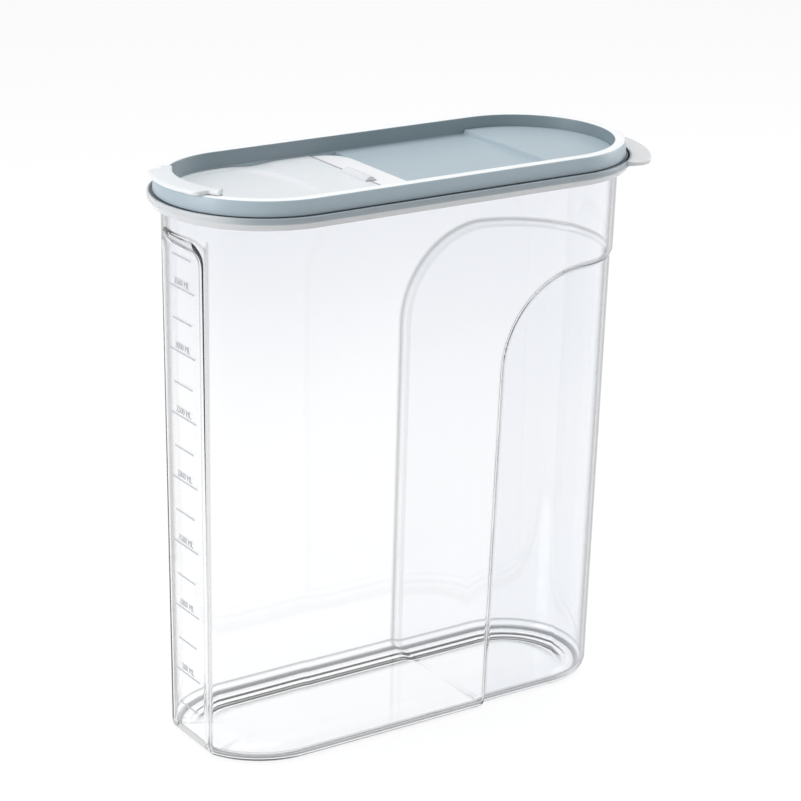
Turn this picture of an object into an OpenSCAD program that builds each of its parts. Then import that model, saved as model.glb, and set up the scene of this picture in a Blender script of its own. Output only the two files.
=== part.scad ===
// Tall cereal container with a lift-off lid and a flip-open pouring flap.
// The plan is a stadium: two round ends on a straight middle. The spout end points to -X
// and the grip and the pull tab to +X. Z runs up from the surface it stands on.

/* [Overall] */
// Height of the lid's rim above the base
rim_top_z = 265; // [200:1:320]
// Distance between the centres of the two round ends
end_span = 140; // [120:1:180]
// Outer radius of the container's round ends, just below the lid
body_r = 43.9; // [40:0.1:54]
// Narrowing of the walls, in mm of radius per mm of height
wall_draft = 0.0137; // [0.005:0.001:0.02]

/* [Container] */
// Thickness of the container's wall
wall_t = 1.8; // [1.2:0.1:2.4]
// Thickness of the floor
floor_t = 2.2; // [1.5:0.1:4]
// Outer radius along the bottom edge
base_edge_r = 5; // [3:0.5:8]
// Depth of the recess in the underside, which leaves a foot all round
foot_recess = 0.6; // [0.3:0.1:1]
// Width of the foot that the container stands on
foot_w = 4; // [2:0.5:8]
// Thickness of the collar
collar_t = 1.4; // [1:0.1:2]

/* [Scale panel] */
// Depth of the flat panel at its middle, below the round end
panel_depth = 4.5; // [2:0.1:8]
// Lean of the panel, in mm of depth per mm of height
panel_draft = 0.0112; // [0.004:0.0002:0.0136]
// Distance from the neck down to the top of the panel
panel_top_gap = 10.3; // [3:0.1:30]
// Radius of the panel's upper corners
panel_corner_r = 10.5; // [4:0.5:12.5]
// Height of the 250 ml graduation above the base
mark_first_z = 17.9; // [14:0.1:30]
// Rise from the 250 ml graduation to the 500 ml one
mark_pitch = 16.15; // [12:0.05:16.5]
// Shortening of each further rise, as the container widens upwards
mark_shrink = 0.13; // [0:0.01:0.2]
// Number of graduations, from 250 ml up
mark_count = 15; // [4:1:15]
// Length of a 500 ml graduation
mark_long = 21.6; // [10:0.1:26]
// Length of a 250 ml graduation
mark_short = 16; // [6:0.1:22]
// Sideways shift of the graduations on the panel
mark_shift = 1.5; // [-3:0.1:3]
// Height of the graduations' relief
mark_relief = 0.25; // [0.1:0.05:0.5]

/* [Grip] */
// Distance from the middle of the container to the step of the grip
grip_x = 31.5; // [15:0.1:45]
// Distance from the lid's rim down to the top of the grip
grip_drop = 51.4; // [35:0.1:90]
// Radius of the grip's upper corner
grip_corner_r = 47; // [20:1:60]
// Depth of the grip along the straight sides
grip_depth = 3; // [2:0.1:5]
// Depth of the grip at the middle of the round end
grip_end_depth = 0.6; // [0.4:0.1:2]

/* [Lid] */
// Height of the lid's outer band
band_h = 7; // [5:0.1:12]
// Thickness of the band at its lower edge
band_t = 1.2; // [0.9:0.1:2]
// Narrowing of the band from its lower edge to its top
band_taper = 0.6; // [0:0.1:1]
// Wall thickness of the lid's deck, inner wall and rim
lid_t = 1.5; // [1:0.1:2.2]
// Radius along the rim's outer and inner edges
rim_edge_r = 0.7; // [0.3:0.1:1]
// Depth of the deck below the rim
deck_drop = 8; // [6:0.1:10]
// Depth of the seat for the flap and its leaf, below the deck
seat_drop = 1.5; // [1:0.1:2]
// Rise of the rear deck above the middle one
rear_rise = 2.2; // [1:0.1:4]
// Distance from the middle of the container to the foot of the rear rise
rear_x = 65; // [55:0.5:80]

/* [Pouring mouth] */
// Distance from the middle of the container to the mouth's front edge
mouth_front_x = 104; // [90:0.5:105]
// Distance from the middle of the container to the mouth's rear edge
mouth_rear_x = 30; // [28:0.5:40]
// Half width of the mouth
mouth_half_w = 35.5; // [34.5:0.5:37]
// Radius of the mouth's rear corners
mouth_rear_r = 9; // [4:0.5:14]
// Radius of the mouth's front corners
mouth_front_r = 34; // [20:0.5:35]
// Height of the wall that hangs from the mouth's edge
mouth_wall_h = 2; // [1:0.1:4]

/* [Flap] */
// Thickness of the flap
flap_t = 1.3; // [0.9:0.1:1.6]
// Distance from the middle of the container to the fold
fold_x = 20.2; // [15:0.1:24]
// Distance from the rim's inner face to the ridge that climbs to the lip
ridge_inset = 3.1; // [2.5:0.1:5]
// Radius of the hollow between the flap's plate and its ridge
ridge_fillet_r = 4; // [2:0.5:6]
// Half of the angle that the ridge spans round the spout
ridge_half_angle = 34.5; // [28:0.5:45]
// Height of the finger lip, which lies over the rim
lip_h = 1.9; // [1.4:0.1:4]
// Reach of the finger lip past the rim's outer edge
lip_reach = 2.4; // [1:0.1:5]
// Half of the angle that the finger lip spans round the spout
lip_half_angle = 25; // [15:0.5:32]
// Radius of the finger lip's corners
lip_corner_r = 3.6; // [2:0.1:6]
// Depth of the dish in the flap
dish_depth = 0.8; // [0.3:0.1:1]
// Radius of the dish's rear edge
dish_r = 42; // [36:1:60]
// Distance from the middle of the container to the dish's rear edge
dish_x = 48.5; // [44:0.5:60]
// Depth of the plug ridge under the flap
plug_h = 2; // [1:0.1:3]
// Thickness of the plug ridge
plug_t = 1.2; // [0.8:0.1:2]

/* [Hinge] */
// Width of the fixed leaf behind the fold
leaf_w = 14; // [10:0.5:20]
// Half length of the leaf along the fold
leaf_half_l = 40; // [30:0.5:41]
// Radius of the leaf's rear corners
leaf_corner_r = 13.5; // [4:0.5:14]
// Radius of the film along the fold
film_r = 0.35; // [0.2:0.05:0.5]
// Length of the snap strap along the fold
strap_l = 20; // [10:1:30]
// Width of the snap strap across the fold
strap_w = 6.2; // [4:0.1:8]
// Rise of the snap strap's arch
strap_rise = 1.4; // [0.8:0.1:2]
// Thickness of the snap strap
strap_t = 0.8; // [0.6:0.1:1.2]
// Radius of the pegs under the leaf
peg_r = 1.6; // [1:0.1:2.5]

/* [Seal ring] */
// Thickness of the ring's upright skirt
seal_t = 0.7; // [0.5:0.1:1.2]
// Reach of the ring's flange past the lid's band
seal_reach = 2.5; // [1:0.1:5]
// Height of the ring's flange
seal_flange_h = 2.7; // [2:0.1:4]
// Height of the taper under the flange
seal_taper_h = 3.1; // [1:0.1:5]
// Reach of the pull tab past the flange
tab_reach = 8.9; // [5:0.1:16]
// Half of the angle that the pull tab spans, to its corner centres
tab_half_angle = 42.7; // [15:0.1:50]
// Thickness of the pull tab
tab_t = 2.2; // [1.5:0.1:2.6]

/* [Clearances] */
// Gap between the moving pieces
gap = 0.3; // [0.2:0.05:0.5]
// Gap between pieces that stay together
seat_gap = 0.1; // [0.05:0.05:0.2]

/* [Hidden] */
$fn = 96;

// Lengths by which a cut runs past what it cuts, and joined pieces run into each other.
over = 20;
lap = 5;
sink = 0.3;

// Small fixed sizes.
collar_inset = 0.2;
mark_line = 0.7;
grip_corner_run = 8;
grip_end_run = 2;
peg_depth = 3;
peg_place = 0.62;
rim_lean = 0.2;
seal_taper_w = 2.1;
tab_root_inset = 0.9;
ridge_land_w = 2.1;
fillet_bite = 0.1;
lip_step = 0.1;
lip_crest_r = 0.9;

// Heights, from the rim down.
channel_top_z = rim_top_z - lid_t;
collar_top_z = channel_top_z - seal_t - gap;
band_bottom_z = rim_top_z - band_h;
deck_z = rim_top_z - deck_drop;
seat_z = deck_z - seat_drop;
shelf_z = seat_z - lid_t - 2 * seat_gap;
neck_z = shelf_z - collar_t;
rear_z = deck_z + rear_rise;
flap_bottom_z = seat_z + gap;
flap_top_z = flap_bottom_z + flap_t;
lip_bottom_z = rim_top_z + gap;
lip_top_z = lip_bottom_z + lip_h;
grip_top_z = rim_top_z - grip_drop;

// Radii at the round ends, from the collar to both sides.
collar_in_r = body_r - collar_inset;
collar_out_r = collar_in_r + collar_t;
rim_out_wall_r = collar_in_r - gap;
rim_in_r = rim_out_wall_r - lid_t;
seal_in_r = collar_out_r + gap;
seal_out_r = seal_in_r + seal_t;
band_in_r = seal_out_r + seat_gap;
band_out_r = band_in_r + band_t;
flange_r = band_out_r + seal_reach;
tab_r = flange_r + tab_reach;
tab_root_r = flange_r - tab_root_inset;
tab_in_r = tab_root_r - seal_t;
flap_r = rim_in_r - 2 * gap;
ridge_r = rim_in_r - ridge_inset;
lip_r = band_out_r - band_taper + lip_reach;

// Distances from the middle of the container along X.
end_x = end_span / 2;
grip_end_x = end_x + grip_depth - grip_end_depth;
panel_x = end_x + body_r - panel_depth;
leaf_start_x = fold_x - film_r / 2;
leaf_end_x = fold_x - leaf_w;
flap_end_x = fold_x + film_r + gap / 2;

// Middle of the whole outline, from the outermost points of the flange or lip and the tab.
outline_min_x = -end_x - max(flange_r, lip_r);
outline_max_x = end_x + tab_r;
frame_x = -(outline_min_x + outline_max_x) / 2;

draft_angle = atan(wall_draft);
panel_half_w = sqrt(body_r * body_r - (body_r - panel_depth) * (body_r - panel_depth));

strap_arch_r = (strap_w * strap_w / 4 + strap_rise * strap_rise) / (2 * strap_rise);
strap_sweep_r = norm([strap_w / 2, strap_t]) + gap;

// Wall radius at a height, on the drafted outside.
function wall_r(z) = body_r - wall_draft * (neck_z - z);

// Square corner less its round, for taking the corner off an outline.
module corner_cut(r) {
    difference() {
        translate([-1, -1]) square(r + 1);
        translate([r, r]) circle(r);
    }
}

// Outline with x from x0 to x1, half width w, and its own radius at each end.
module rounded_plate(x0, x1, w, r0, r1) {
    difference() {
        translate([x0, -w]) square([x1 - x0, 2 * w]);
        for (side = [0, 1]) mirror([0, side]) {
            translate([x0, -w]) corner_cut(r0);
            translate([x1, -w]) mirror([1, 0]) corner_cut(r1);
        }
    }
}

// Sweeps a section, drawn as radius and height, once round the stadium.
module sweep_ring(centre_x = end_x) {
    for (turn = [0, 1]) mirror([turn, 0, 0]) {
        translate([centre_x, 0, 0]) rotate([0, 0, -90]) rotate_extrude(angle = 180) children();
    }
    for (side = [0, 1]) mirror([0, side, 0]) {
        translate([-centre_x, 0, 0]) rotate([90, 0, 90]) linear_extrude(2 * centre_x) children();
    }
}

// Upright stadium block of one radius.
module stadium_block(r, z0, z1) {
    translate([0, 0, z0]) linear_extrude(z1 - z0) {
        for (side = [-1, 1]) translate([side * end_x, 0]) circle(r);
        translate([-end_x, -r]) square([2 * end_x, 2 * r]);
    }
}

// Half section of the drafted container, from the axis out, with its bottom edge rounded.
module drafted_half(r_shift, z0, z1, edge_r) {
    edge_z = z0 + edge_r;
    edge_x = wall_r(edge_z) - r_shift - edge_r / cos(draft_angle);
    polygon([
        [0, z0],
        [edge_x, z0],
        [edge_x, edge_z],
        [edge_x + edge_r * cos(draft_angle), edge_z - edge_r * sin(draft_angle)],
        [wall_r(z1) - r_shift, z1],
        [0, z1]
    ]);
    translate([edge_x, edge_z]) circle(edge_r);
}

// Drafted stadium with its walls moved in by r_shift.
module drafted_stadium(r_shift, z0, z1, edge_r, back_x = end_x) {
    translate([back_x, 0, 0]) rotate([0, 0, -90]) rotate_extrude(angle = 180)
        drafted_right(r_shift, z0, z1, edge_r);
    translate([-end_x, 0, 0]) rotate([0, 0, 90]) rotate_extrude(angle = 180)
        drafted_right(r_shift, z0, z1, edge_r);
    translate([-end_x, 0, 0]) rotate([90, 0, 90]) linear_extrude(end_x + back_x) {
        drafted_half(r_shift, z0, z1, edge_r);
        mirror([1, 0]) drafted_half(r_shift, z0, z1, edge_r);
    }
}

module drafted_right(r_shift, z0, z1, edge_r) {
    intersection() {
        drafted_half(r_shift, z0, z1, edge_r);
        translate([0, z0]) square([2 * body_r, z1 - z0]);
    }
}

// Everything in front of the flat panel, with the panel's own rounded bottom edge.
module panel_cut(inset, z0, edge_r) {
    lean = atan(panel_draft);
    edge_z = z0 + edge_r;
    edge_x = panel_x - panel_draft * (neck_z - edge_z) - inset - edge_r / cos(lean);
    intersection() {
        translate([0, body_r, 0]) rotate([90, 0, 0]) linear_extrude(2 * body_r) difference() {
            translate([-panel_x - over, z0 - over])
                square([over + panel_depth + edge_r + over, neck_z + over]);
            polygon([
                [0, z0],
                [-edge_x, z0],
                [-edge_x, edge_z],
                [-edge_x - edge_r * cos(lean), edge_z - edge_r * sin(lean)],
                [-panel_x + inset, neck_z],
                [0, neck_z]
            ]);
            translate([-edge_x, edge_z]) circle(edge_r);
        }
        translate([-panel_x - over, 0, 0]) rotate([90, 0, 90]) linear_extrude(3 * over) rotate(90)
            rounded_plate(z0 - over, neck_z - panel_top_gap + inset, panel_half_w + inset, panel_corner_r,
                panel_corner_r + inset);
    }
}

// The grip's space, open to the outside, before the container's inner form limits it.
// Its step, its ledge and the corner between them all slope at 45 degrees to the wall.
module grip_space(inset) {
    slope = inset * (sqrt(2) - 1);
    corner_x = grip_x + grip_corner_r;
    meet_x = min(corner_x - grip_corner_run, end_x - grip_end_run);
    centre_drop = sqrt(pow(grip_corner_r + slope, 2) - pow(corner_x - meet_x, 2)) - slope;
    intersection() {
        union() {
            rotate([90, 0, 90]) linear_extrude(end_x) {
                grip_ledge_section(inset, slope);
                mirror([1, 0]) grip_ledge_section(inset, slope);
            }
            translate([end_x, 0, 0]) rotate([0, 0, -90]) rotate_extrude(angle = 180)
                grip_ledge_section(inset, slope);
        }
        union() {
            translate([corner_x, -end_x, -2 * over]) cube([end_x, 2 * end_x, rim_top_z]);
            for (side = [0, 1]) mirror([0, side, 0])
                translate([0, wall_r(grip_top_z) - inset, grip_top_z]) rotate([-draft_angle, 0, 0])
                    translate([corner_x, 0, -centre_drop]) grip_corner(grip_corner_r + slope);
        }
    }
}

// Section of the grip's ledge, which rises outwards from the wall.
module grip_ledge_section(inset, slope) {
    r = wall_r(grip_top_z) - inset;
    rise = tan(45 - draft_angle);
    polygon([
        [0, -over],
        [r + over, -over],
        [r + over, grip_top_z + slope + over * rise],
        [0, grip_top_z + slope - r * rise]
    ]);
}

// The grip's step with its round corner on top, both as wide again as they are far out.
module grip_corner(r) {
    translate([0, 0, -grip_top_z - over]) linear_extrude(grip_top_z + over) polygon([
        [-r - over, over],
        [-r + over, -over],
        [lap, -over],
        [lap, over]
    ]);
    translate([0, over, 0]) rotate([90, 0, 0]) rotate_extrude(angle = 180) polygon([
        [0, 0],
        [r + over, 0],
        [r - over, 2 * over],
        [0, 2 * over]
    ]);
}

// Outer form of the container, or its inner one when it is moved in by inset.
module container_form(inset, z0, z1, edge_r) {
    difference() {
        drafted_stadium(inset, z0, z1, edge_r);
        panel_cut(inset, z0, edge_r);
        difference() {
            grip_space(inset);
            drafted_stadium(inset + grip_depth, z0, z1 + over, edge_r, grip_end_x);
        }
    }
}

module collar_section() {
    polygon([
        [body_r - wall_t, neck_z - lap],
        [body_r, neck_z - lap],
        [body_r, neck_z],
        [collar_out_r, neck_z],
        [collar_out_r, collar_top_z],
        [collar_in_r, collar_top_z],
        [collar_in_r, shelf_z],
        [body_r - wall_t, shelf_z]
    ]);
}

module graduations() {
    for (i = [0 : mark_count - 1]) {
        z = mark_first_z + i * mark_pitch - mark_shrink * i * (i - 1) / 2;
        long = i % 2 == 1 ? mark_long : mark_short;
        x = panel_x - panel_draft * (neck_z - z);
        translate([-x - mark_relief, mark_shift - long / 2, z - mark_line / 2])
            cube([mark_relief + wall_t / 2, long, mark_line]);
    }
}

// Shallow recess under the floor, which leaves the foot.
module foot_recess_block() {
    r_shift = body_r - wall_r(0) + base_edge_r + foot_w;
    intersection() {
        stadium_block(body_r - r_shift, -over, foot_recess);
        translate([-panel_x + panel_draft * neck_z + base_edge_r + foot_w, -body_r, -over])
            cube([2 * (end_x + body_r), 2 * body_r, 2 * over]);
    }
}

module container_body() {
    color([0.93, 0.95, 0.96, 0.35]) translate([frame_x, 0, 0]) {
        difference() {
            container_form(0, 0, neck_z, base_edge_r);
            container_form(wall_t, floor_t, neck_z + over, base_edge_r - wall_t);
            foot_recess_block();
        }
        sweep_ring() collar_section();
        graduations();
    }
}

// Rim, channel and outer band of the lid, as radius and height.
module rim_section() {
    difference() {
        polygon([
            [rim_in_r, rim_top_z],
            [band_out_r - band_taper, rim_top_z],
            [band_out_r, band_bottom_z],
            [band_in_r, band_bottom_z],
            [band_in_r, channel_top_z],
            [rim_out_wall_r, channel_top_z],
            [rim_out_wall_r, seat_z - lid_t],
            [rim_in_r - rim_lean, seat_z - lid_t]
        ]);
        translate([rim_in_r, rim_top_z]) mirror([0, 1]) corner_cut(rim_edge_r);
        translate([band_out_r - band_taper, rim_top_z]) mirror([1, 0]) mirror([0, 1]) corner_cut(rim_edge_r);
    }
}

// Side view of the lid's stepped deck: rear deck, riser, middle deck and seat.
module deck_profile() {
    riser = rear_rise / 2;
    polygon([
        [end_x + body_r, rear_z],
        [rear_x + riser, rear_z],
        [rear_x, deck_z],
        [-leaf_end_x + seat_gap, deck_z],
        [-leaf_end_x + seat_gap, seat_z],
        [-end_x - body_r, seat_z],
        [-end_x - body_r, seat_z - lid_t],
        [-leaf_end_x + lid_t, seat_z - lid_t],
        [-leaf_end_x + lid_t, deck_z - lid_t],
        [rear_x + riser, deck_z - lid_t],
        [rear_x + riser + lid_t / 2, rear_z - lid_t],
        [end_x + body_r, rear_z - lid_t]
    ]);
}

// Plan of the pouring mouth, grown by a margin.
module mouth_plan(margin) {
    rounded_plate(-mouth_front_x - margin, -mouth_rear_x + margin, mouth_half_w + margin,
        mouth_front_r + margin, mouth_rear_r + margin);
}

module strap_well(r) {
    translate([-fold_x, strap_l / 2 + gap, flap_top_z]) rotate([90, 0, 0])
        cylinder(r = r, h = strap_l + 2 * gap);
}

module peg_places() {
    for (side = [-1, 1])
        translate([-(leaf_start_x + leaf_end_x) / 2, side * leaf_half_l * peg_place, 0]) children();
}

module lid_frame() {
    color([0.62, 0.69, 0.73]) translate([frame_x, 0, 0]) {
        sweep_ring() rim_section();
        difference() {
            union() {
                intersection() {
                    translate([0, body_r, 0]) rotate([90, 0, 0]) linear_extrude(2 * body_r) deck_profile();
                    stadium_block(rim_in_r + sink, seat_z - 2 * lid_t, rim_top_z);
                }
                translate([0, 0, seat_z - lid_t - mouth_wall_h])
                    linear_extrude(mouth_wall_h + lid_t / 2) mouth_plan(lid_t);
                strap_well_wall();
                peg_places() translate([0, 0, seat_z - lid_t - peg_depth])
                    cylinder(r = peg_r + lid_t, h = peg_depth + lid_t / 2);
            }
            translate([0, 0, seat_z - 2 * over]) linear_extrude(2 * over + gap) mouth_plan(0);
            strap_well(strap_sweep_r + gap);
            peg_places() translate([0, 0, seat_z - peg_depth]) cylinder(r = peg_r + seat_gap, h = over);
        }
    }
}

// Closed trough under the fold, which leaves the snap strap room to turn.
module strap_well_wall() {
    r = strap_sweep_r + gap + lid_t / 2;
    intersection() {
        translate([-fold_x, strap_l / 2 + gap + lid_t, flap_top_z]) rotate([90, 0, 0])
            cylinder(r = r, h = strap_l + 2 * (gap + lid_t));
        translate([-fold_x - r, -strap_l, flap_top_z - over])
            cube([2 * r, 2 * strap_l, over - (flap_top_z - seat_z)]);
    }
}

// Section of the seal ring: flange and taper outside, skirt and top pad inside the band.
module seal_section() {
    flange_top_z = band_bottom_z - seat_gap;
    flange_low_z = flange_top_z - seal_flange_h;
    polygon([
        [collar_in_r, channel_top_z],
        [seal_out_r, channel_top_z],
        [seal_out_r, flange_top_z],
        [flange_r - rim_edge_r, flange_top_z],
        [flange_r, flange_top_z - rim_edge_r],
        [flange_r, flange_low_z],
        [flange_r - seal_taper_w, flange_low_z - seal_taper_h],
        [seal_in_r, flange_low_z - seal_taper_h],
        [seal_in_r, channel_top_z - seal_t],
        [collar_in_r, channel_top_z - seal_t]
    ]);
}

// Round-edged section of the pull tab, from an inner radius out to r.
module tab_section(r, r0) {
    translate([r0, 0]) square([r - tab_t / 2 - r0, tab_t]);
    translate([r - tab_t / 2, tab_t / 2]) intersection() {
        circle(tab_t / 2);
        translate([0, -tab_t]) square(2 * tab_t);
    }
}

module lid_seal() {
    flange_top_z = band_bottom_z - seat_gap;
    corner_r = tab_reach + (flange_r - tab_root_r);
    color([0.93, 0.94, 0.95, 0.8]) translate([frame_x, 0, 0]) {
        sweep_ring() seal_section();
        translate([end_x, 0, flange_top_z - tab_t]) {
            rotate([0, 0, -tab_half_angle]) rotate_extrude(angle = 2 * tab_half_angle)
                tab_section(tab_r, tab_in_r);
            difference() {
                for (side = [0, 1]) mirror([0, side, 0])
                    rotate([0, 0, tab_half_angle]) translate([tab_root_r, 0, 0])
                        rotate_extrude(angle = 180) tab_section(corner_r, 0);
                translate([0, 0, -over]) cylinder(r = tab_in_r, h = 2 * over);
            }
        }
    }
}

module hinge_leaf() {
    color([0.96, 0.97, 0.98]) translate([frame_x, 0, 0]) {
        difference() {
            union() {
                translate([0, 0, seat_z]) linear_extrude(flap_top_z - seat_z)
                    rounded_plate(-leaf_start_x, -leaf_end_x, leaf_half_l, film_r, leaf_corner_r);
                peg_places() translate([0, 0, seat_z - peg_depth + seat_gap])
                    cylinder(r = peg_r, h = peg_depth);
            }
            strap_well(strap_sweep_r);
        }
        for (side = [0, 1]) mirror([0, side, 0])
            translate([-fold_x, leaf_half_l - 2 * film_r, flap_top_z]) rotate([90, 0, 0])
                cylinder(r = film_r, h = leaf_half_l - 2 * film_r - strap_l / 2 - gap);
    }
}

// Section of the ridge at the spout, as radius and height: hollow, wall and the land over the rim.
module ridge_section() {
    wall_top_z = lip_top_z - lip_crest_r;
    fillet_x = ridge_r - ridge_fillet_r + fillet_bite;
    difference() {
        translate([fillet_x, flap_top_z - sink]) square(ridge_fillet_r + sink - fillet_bite);
        translate([fillet_x, flap_top_z + ridge_fillet_r - fillet_bite]) circle(ridge_fillet_r);
    }
    translate([ridge_r, flap_bottom_z]) square([flap_t, wall_top_z - flap_bottom_z]);
    translate([ridge_r + lip_crest_r, lip_bottom_z])
        square([rim_in_r + ridge_land_w - ridge_r - lip_crest_r, lip_h]);
    translate([ridge_r + lip_crest_r, wall_top_z]) circle(lip_crest_r);
}

// Sector of the finger lip past the rim's land, with round corners and a round edge.
module lip_block() {
    centre_r = lip_r - lip_corner_r;
    turn = lip_half_angle - asin(lip_corner_r / centre_r);
    rotate([0, 0, -turn]) rotate_extrude(angle = 2 * turn) lip_section(rim_in_r, lip_r);
    for (side = [0, 1]) mirror([0, side, 0]) rotate([0, 0, turn]) {
        translate([centre_r, 0, 0]) rotate_extrude() lip_section(0, lip_corner_r);
        translate([rim_in_r, 0, 0]) rotate([90, 0, 90]) linear_extrude(centre_r - rim_in_r)
            lip_section(0, lip_corner_r);
    }
}

// Section of the finger lip from one radius out to another, with its edge rounded.
module lip_section(r0, r1) {
    edge_r = lip_h / 2 - lip_step;
    translate([r0, 0]) square([r1 - edge_r - r0, 2 * edge_r]);
    translate([r1 - edge_r, edge_r]) intersection() {
        circle(edge_r);
        translate([0, -lip_h]) square(2 * lip_h);
    }
}

module pour_flap() {
    color([0.95, 0.96, 0.97]) translate([frame_x, 0, 0]) {
        difference() {
            intersection() {
                stadium_block(flap_r, flap_bottom_z, flap_top_z);
                translate([-2 * end_x - flap_end_x, -body_r, 0]) cube([2 * end_x, 2 * body_r, rim_top_z]);
            }
            strap_well(strap_sweep_r);
            translate([0, 0, flap_top_z - dish_depth]) linear_extrude(lap) dish_plan(0);
        }
        translate([0, 0, flap_bottom_z - dish_depth]) linear_extrude(dish_depth + sink) dish_plan(plug_t);
        translate([0, 0, flap_bottom_z - plug_h]) linear_extrude(plug_h + sink) difference() {
            mouth_plan(-gap - seat_gap);
            mouth_plan(-gap - seat_gap - plug_t);
        }
        translate([-end_x, 0, 0]) rotate([0, 0, 180]) {
            rotate([0, 0, -ridge_half_angle]) rotate_extrude(angle = 2 * ridge_half_angle) ridge_section();
            translate([0, 0, lip_bottom_z + lip_step]) lip_block();
        }
    }
}

// Plan of the dish: the flap's own outline drawn in, with a round rear edge.
module dish_plan(margin) {
    intersection() {
        mouth_plan(margin - 2 * plug_t);
        translate([-dish_x - dish_r + margin, 0]) circle(dish_r);
    }
}

// Arched strip over the fold.
module snap_strap() {
    base_z = flap_top_z;
    centre_z = base_z + strap_rise - strap_arch_r;
    color([0.9, 0.91, 0.93]) translate([frame_x - fold_x, strap_l / 2, 0]) rotate([90, 0, 0])
        linear_extrude(strap_l) intersection() {
            difference() {
                translate([0, centre_z]) circle(strap_arch_r + strap_t);
                translate([0, centre_z]) circle(strap_arch_r);
            }
            translate([-strap_w / 2, base_z - strap_t]) square([strap_w, 3 * strap_w]);
        }
}

container_body();
lid_frame();
lid_seal();
hinge_leaf();
pour_flap();
snap_strap();
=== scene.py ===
import math

import bmesh
import bpy
from mathutils import Matrix, Vector


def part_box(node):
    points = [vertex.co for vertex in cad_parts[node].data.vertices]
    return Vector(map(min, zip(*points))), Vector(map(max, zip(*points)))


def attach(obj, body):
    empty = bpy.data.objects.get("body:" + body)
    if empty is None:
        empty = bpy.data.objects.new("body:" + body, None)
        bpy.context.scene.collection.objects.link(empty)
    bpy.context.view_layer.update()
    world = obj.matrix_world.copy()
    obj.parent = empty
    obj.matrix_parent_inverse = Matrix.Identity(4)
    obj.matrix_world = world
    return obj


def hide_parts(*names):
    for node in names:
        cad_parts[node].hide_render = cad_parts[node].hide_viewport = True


# A tall clear cereal container with a blue-grey lid, a milky seal ring and a white pouring flap.
# Pieces are drawn in millimetres about the container's own middle and stored in metres.

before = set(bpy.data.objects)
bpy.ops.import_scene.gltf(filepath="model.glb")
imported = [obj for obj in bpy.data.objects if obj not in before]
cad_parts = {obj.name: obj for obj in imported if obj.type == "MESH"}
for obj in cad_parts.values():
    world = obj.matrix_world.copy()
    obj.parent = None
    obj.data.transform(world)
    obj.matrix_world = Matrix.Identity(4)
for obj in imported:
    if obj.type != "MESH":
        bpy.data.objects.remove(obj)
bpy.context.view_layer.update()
print("frame loaded:", ", ".join(sorted(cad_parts)))

bodyLow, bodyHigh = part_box("container_body")
middleX = (bodyLow.x + bodyHigh.x) / 2
endX = 70.0
rimTop = 265.0


def blendStep(value, low, high):
    t = min(max((value - low) / (high - low), 0.0), 1.0)
    return t * t * (3 - 2 * t)


def softPositive(value, radius):
    # zero below, the value itself above, and a round corner between
    if value <= -radius:
        return 0.0
    return value if value >= radius else (value + radius) ** 2 / (4 * radius)


# Mesh helpers

def drawProfile(bm, corners, closed=False):
    # corners are (radius, height, rounding); a wire vertex bevel rounds each
    verts = [bm.verts.new((0, -radius, height)) for radius, height, rounding in corners]
    for first, second in zip(verts, verts[1:]):
        bm.edges.new((first, second))
    if closed:
        bm.edges.new((verts[-1], verts[0]))
    for size in sorted({rounding for radius, height, rounding in corners if rounding}):
        picked = [vert for vert, corner in zip(verts, corners) if corner[2] == size and vert.is_valid]
        bmesh.ops.bevel(bm, geom=picked, offset=size, segments=5, profile=0.5, affect="VERTICES", material=-1)


def sweepRound(bm, moves):
    # carries the profile along straight runs and turns round the two end centres
    last = bm.verts[:] + bm.edges[:]
    for move in moves:
        if move["kind"] == "line":
            step = Vector((move["length"] / move["steps"], 0, 0))
            made = bmesh.ops.spin(bm, geom=last, cent=(0, 0, 0), axis=(0, 0, 1), dvec=step, angle=0,
                                  steps=move["steps"], use_duplicate=False)
        else:
            made = bmesh.ops.spin(bm, geom=last, cent=(move["centre"], 0, 0), axis=(0, 0, 1), dvec=(0, 0, 0),
                                  angle=math.radians(move["angle"]), steps=move["steps"], use_duplicate=False)
        last = made["geom_last"]
    bmesh.ops.remove_doubles(bm, verts=bm.verts, dist=0.002)


def line(length, steps):
    return {"kind": "line", "length": length, "steps": steps}


def turn(centre, angle, steps):
    return {"kind": "turn", "centre": centre, "angle": angle, "steps": steps}


def plainLoop(straightSteps, turnSteps):
    return [line(endX, straightSteps), turn(endX, 180, turnSteps), line(-2 * endX, 2 * straightSteps),
            turn(-endX, 180, turnSteps), line(endX, straightSteps)]


def mappedSlab(bm, columns, rows, place):
    # a grid with thickness whose vertices are then placed by (u, v, upper)
    bmesh.ops.create_grid(bm, x_segments=columns, y_segments=rows, size=0.5)
    bmesh.ops.solidify(bm, geom=bm.faces[:], thickness=1.0)
    heights = [vert.co.z for vert in bm.verts]
    middle = (min(heights) + max(heights)) / 2
    for vert in bm.verts:
        vert.co = place(vert.co.x + 0.5, vert.co.y + 0.5, vert.co.z > middle)
    bmesh.ops.remove_doubles(bm, verts=bm.verts, dist=0.002)


def meshFrom(bm, name):
    mesh = bpy.data.meshes.new(name)
    bm.to_mesh(mesh)
    bm.free()
    return mesh


def addObject(name, data):
    made = bpy.data.objects.new(name, data)
    bpy.context.scene.collection.objects.link(made)
    return made


def joinInto(bm, other):
    # adds another closed shape to the same piece
    carrier = meshFrom(other, "joined")
    bm.from_mesh(carrier)
    bpy.data.meshes.remove(carrier)


def shiftRaised(bm, made, step):
    # moves the new vertices of an extrusion
    raised = [item for item in made["geom"] if isinstance(item, bmesh.types.BMVert)]
    bmesh.ops.translate(bm, vec=step, verts=raised)


def toMetres(bm):
    # from millimetres about the container's middle to metres in the shared frame
    bmesh.ops.scale(bm, vec=(0.001, 0.001, 0.001), verts=bm.verts)
    bmesh.ops.translate(bm, vec=(middleX, 0, 0), verts=bm.verts)


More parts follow.
